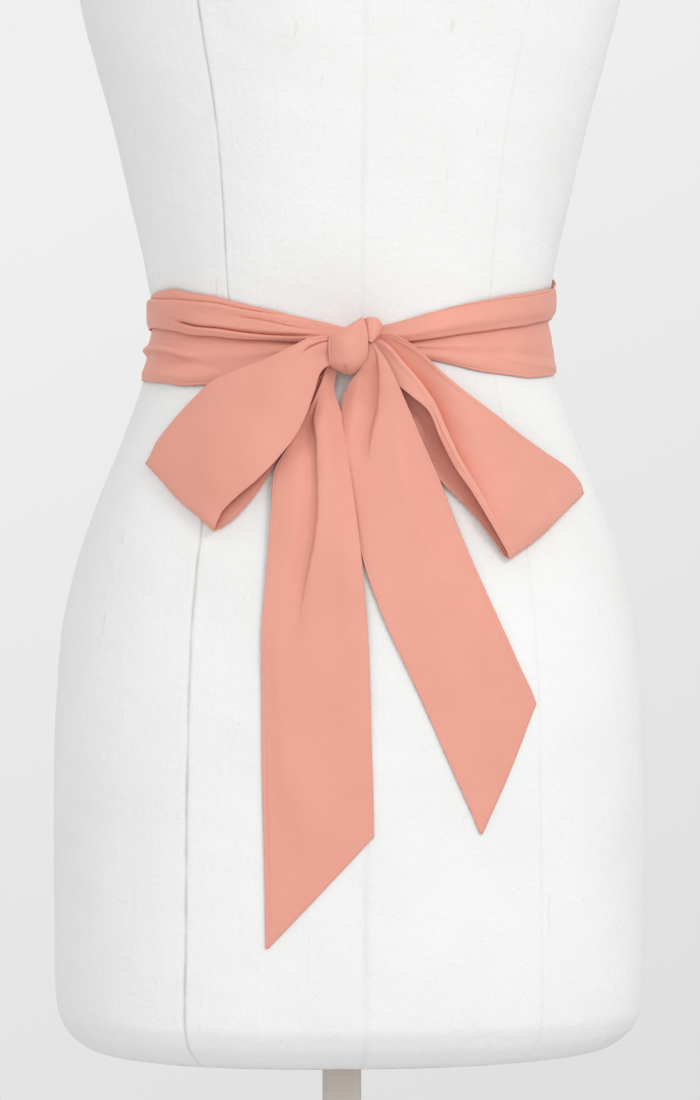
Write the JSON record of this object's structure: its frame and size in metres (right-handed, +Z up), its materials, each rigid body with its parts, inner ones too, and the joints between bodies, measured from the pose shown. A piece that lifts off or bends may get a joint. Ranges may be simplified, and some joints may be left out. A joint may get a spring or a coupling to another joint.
{
  "type": "satin waist sash on dress form",
  "caption": "Pink satin sash tied in a bow with two hanging tails round the waist of a limbless linen dress form on a square post and round base.",
  "frame": {"origin": "on the floor, under the centre of the stand's round base", "axes": "+Z up, the form and the bow face -Y, +X to the right as seen from the front"},
  "size_m": [0.38, 0.38, 1.514],
  "materials": {
    "satin": "dull salmon pink satin with a fine crepe face",
    "linen": "matte off-white canvas, lightly painted",
    "stand_paint": "warm light grey paint, low gloss"
  },
  "bodies": {
    "root": {"dress_form": "linen", "stand_post": "stand_paint", "stand_base": "stand_paint", "waist_band": "satin", "knot_wrap": "satin", "knot_tuck": "satin", "left_loop": "satin", "right_loop": "satin", "left_tail": "satin", "right_tail": "satin"}
  },
  "joints": []
}
